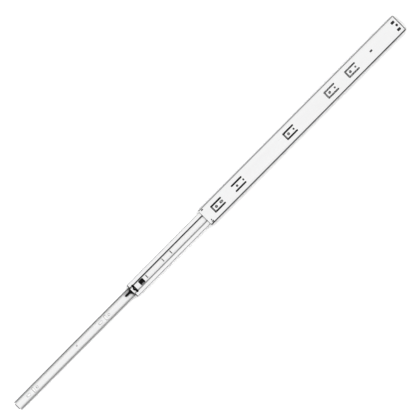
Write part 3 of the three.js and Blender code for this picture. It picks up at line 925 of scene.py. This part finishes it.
CABINET_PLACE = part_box("cabinet_member")[0].x
INTERMEDIATE_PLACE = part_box("intermediate_member")[0].x
DRAWER_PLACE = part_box("drawer_member")[0].x + TONGUE_LENGTH * MM


def node_length(node):
    """Length of a CAD node along the slide, in millimetres."""
    low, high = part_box(node)
    return (high.x - low.x) / MM


def place_rail(rail, node, body, place, seed, races):
    finish_mesh(rail, (place, 0, 0))
    rail.name = node + "_steel"
    dress(rail, [zinc_plate(node + "_zinc", seed, races), sheared_edge(node + "_cut", seed)])
    put_in_frame(rail, body, "zinc_plated_steel", node)


def place_rails():
    place_rail(
        cabinet_member(node_length("cabinet_member")),
        "cabinet_member", "cabinet_section", CABINET_PLACE, 1.0, [OUTER_BALL],
    )
    place_rail(
        intermediate_member(node_length("intermediate_member")),
        "intermediate_member", "intermediate_section", INTERMEDIATE_PLACE, 2.0, [OUTER_BALL, INNER_BALL],
    )
    place_rail(
        drawer_member(node_length("drawer_member") - TONGUE_LENGTH),
        "drawer_member", "drawer_section", DRAWER_PLACE, 3.0, [INNER_BALL],
    )


def place_fittings():
    plastics = [
        black_plastic("lever_acetal", 1.0, 0.007, 0.013),
        black_plastic("bumper_acetal", 2.0, 0.035, 0.055),
    ]
    pivot = (DRAWER_PLACE + LEVER_PIVOT * MM, 0, 0)
    lever = finish_mesh(release_lever(), pivot, 0.22, 3)
    lever.name = "release_lever_moulding"
    dress(lever, plastics[:1])
    put_in_frame(lever, "lever", "black_plastic", "release_lever")
    bumper = finish_mesh(rear_bumper(), (CABINET_PLACE, 0, 0), 0.3, 3)
    bumper.name = "rear_bumper_moulding"
    dress(bumper, plastics[1:])
    put_in_frame(bumper, "cabinet_section", "black_plastic", "rear_bumper")
    rivet = finish_mesh(lever_rivet(), pivot, 0.06)
    rivet.name = "lever_rivet_steel"
    dress(rivet, [rivet_steel()])
    put_in_frame(rivet, "drawer_section", "rivet_steel", "lever_rivet")


def place_ball_trains():
    strip_steel, cut_steel, polished = cage_steel(), sheared_edge("cage_cut", 6.0), ball_steel()
    data = ball_mesh()
    data.materials.append(polished)
    trains = (
        ("outer", OUTER_CAGE, OUTER_BALL, CABINET_PLACE),
        ("inner", INNER_CAGE, INNER_BALL, INTERMEDIATE_PLACE),
    )
    for name, cage, ball, place in trains:
        body = name + "_ball_trains"
        for row, side in (("upper", 1), ("lower", -1)):
            strip = finish_mesh(cage_strip(cage, ball, side), (place, 0, 0), 0.12)
            strip.name = f"{name}_cage_{row}_strip"
            dress(strip, [strip_steel, cut_steel])
            put_in_frame(strip, body, "cage_steel", f"{name}_cage_{row}")
            for i, x in enumerate(ball_places(cage), 1):
                node = f"{name}_ball_{row}_{i:02d}"
                made = bpy.data.objects.new(node + "_steel", data)
                bpy.context.scene.collection.objects.link(made)
                made.location = (place + x * MM, ball[0] * MM, side * ball[1] * MM)
                made.rotation_euler = (0.7 * i, 1.1 * i, 0.4 * i)
                put_in_frame(made, body, "ball_steel", node)


# ---------------------------------------------------------------- camera, light and floor

VIEW_ROLL = math.radians(45.177)  # the slide's slope in the picture
VIEW_LENS = 150.0
VIEW_WIDTH = 911.5 * MM  # width of the picture at the mounting face
VIEW_TARGET = Vector((-282.15, 0, 10.6)) * MM
PICTURE_GAMMA = 0.8
FLOOR_Z = -1.0  # metres, as are the two below
FLOOR_HALF = 2.0
PAPER_CORNERS = ((-2, -1), (2, -1), (2, 2), (-2, 2))  # x and z
PAPER_Y = (THICKNESS + 0.3) * MM  # just behind the drawer member
FRONT_EDGE = (-0.55, -0.82)  # y of the directions between which the light in front begins
FRONT_LIGHT = 1.05
BACK_LIGHT = 0.9
LIGHT_ABOVE = 0.40
LIGHT_BELOW = 0.03
LIGHT_PAST_ENDS = 0.6
MATT_LIGHT = 1.9


def make_camera():
    data = bpy.data.cameras.new("camera")
    data.lens = VIEW_LENS
    distance = VIEW_WIDTH * VIEW_LENS / data.sensor_width
    camera = bpy.data.objects.new("camera", data)
    bpy.context.scene.collection.objects.link(camera)
    right = Vector((math.cos(VIEW_ROLL), 0, -math.sin(VIEW_ROLL)))
    up = Vector((math.sin(VIEW_ROLL), 0, math.cos(VIEW_ROLL)))
    turn = Matrix((right, up, Vector((0, -1, 0)))).transposed().to_4x4()
    camera.matrix_world = Matrix.Translation(VIEW_TARGET - Vector((0, distance, 0))) @ turn
    data.clip_start, data.clip_end = 0.05, 60
    bpy.context.scene.camera = camera


def make_world():
    """A white studio. What the steel mirrors is bright in front and behind, half lit above, dark below
    and half lit again below and beyond the slide's two ends.
    Matt surfaces, and what they are lit through, see an even light from the front."""
    world = bpy.data.worlds.new("studio")
    bpy.context.scene.world = world
    world.use_nodes = True
    nodes, links = world.node_tree.nodes, world.node_tree.links
    nodes.clear()

    def spread(value, low, high, start, end):
        made = nodes.new("ShaderNodeMapRange")
        made.interpolation_type = "SMOOTHSTEP"
        links.new(value, made.inputs["Value"])
        for key, number in (("From Min", low), ("From Max", high), ("To Min", start), ("To Max", end)):
            made.inputs[key].default_value = number
        return made.outputs["Result"]

    def maths(operation, a, b):
        made = nodes.new("ShaderNodeMath")
        made.operation = operation
        links.new(a, made.inputs[0])
        links.new(b, made.inputs[1])
        return made.outputs[0]

    def lamp(strength):
        made = nodes.new("ShaderNodeBackground")
        made.inputs["Color"].default_value = (1, 1, 1, 1)
        if isinstance(strength, bpy.types.NodeSocket):
            links.new(strength, made.inputs["Strength"])
        else:
            made.inputs["Strength"].default_value = strength
        return made.outputs["Background"]

    def either(factor, first, second):
        mix = nodes.new("ShaderNodeMixShader")
        links.new(factor, mix.inputs["Fac"])
        links.new(first, mix.inputs[1])
        links.new(second, mix.inputs[2])
        return mix.outputs["Shader"]

    split = nodes.new("ShaderNodeSeparateXYZ")
    links.new(nodes.new("ShaderNodeTexCoord").outputs["Generated"], split.inputs["Vector"])
    towards, height = split.outputs["Y"], split.outputs["Z"]
    along = maths("ABSOLUTE", split.outputs["X"], split.outputs["X"])
    front = spread(towards, FRONT_EDGE[0], FRONT_EDGE[1], 0, FRONT_LIGHT)
    behind = spread(towards, 0.1, 0.6, 0, BACK_LIGHT)
    above = spread(height, -0.15, 0.65, LIGHT_BELOW, LIGHT_ABOVE)
    under = spread(height, -0.05, -0.25, 0, LIGHT_PAST_ENDS)
    past_ends = maths("MULTIPLY", spread(along, 0.45, 0.75, 0, 1), under)
    facing = maths("MAXIMUM", front, behind)
    room = lamp(maths("MAXIMUM", facing, maths("MAXIMUM", above, past_ends)))
    dome = lamp(spread(towards, 0.1, -0.1, 0, MATT_LIGHT))
    path = nodes.new("ShaderNodeLightPath").outputs
    seen = either(path["Diffuse Depth"], room, dome)
    out = nodes.new("ShaderNodeOutputWorld")
    links.new(either(path["Is Camera Ray"], seen, lamp(1.0)), out.inputs["Surface"])


def make_sheet(name, corners, tone, one_sided):
    """A flat pale sheet of the studio. A one-sided sheet can be looked through from behind."""
    mesh = bmesh.new()
    mesh.faces.new([mesh.verts.new(corner) for corner in corners])
    sheet = mesh_object(name, mesh)
    paint = Finish(name + "_paint", Roughness=0.8)
    mottle = paint.noise((9, 9, 9), (0, 0, 0), 4)
    colour = paint.blend(mottle, grey(tone), grey(tone + 0.03))
    rough = paint.spread(mottle, 0.3, 0.7, 0.7, 0.85)
    painted = paint.done(colour, rough, paint.bump(mottle, 0.2 * MM, 0.1))
    if one_sided:
        clear = paint.node("ShaderNodeBsdfTransparent").outputs[0]
        back = paint.node("ShaderNodeNewGeometry").outputs["Backfacing"]
        mix = paint.node("ShaderNodeMixShader")
        paint.feed(mix.inputs["Fac"], back)
        paint.feed(mix.inputs[1], paint.shader.outputs[0])
        paint.feed(mix.inputs[2], clear)
        out = next(n for n in paint.tree.nodes if n.type == "OUTPUT_MATERIAL")
        paint.feed(out.inputs["Surface"], mix.outputs[0])
    dress(sheet, [painted])
    sheet.visible_glossy = False
    return sheet


def make_floor_and_backdrop():
    """A plain pale floor well below the slide, and a sheet of white paper just behind it. The paper
    is seen through the cuts, and neither shades nor lights the steel."""
    corners = ((-1, -1), (1, -1), (1, 1), (-1, 1))
    make_sheet("floor", [(x * FLOOR_HALF, y * FLOOR_HALF, FLOOR_Z) for x, y in corners], 0.80, False)
    paper = make_sheet("backdrop", [(x, PAPER_Y, z) for x, z in PAPER_CORNERS], 0.82, True)
    paper.visible_diffuse = False
    paper.visible_shadow = False


make_camera()
make_world()
make_floor_and_backdrop()
bpy.context.scene.view_settings.view_transform = "Standard"
bpy.context.scene.view_settings.gamma = PICTURE_GAMMA
place_rails()
place_fittings()
place_ball_trains()
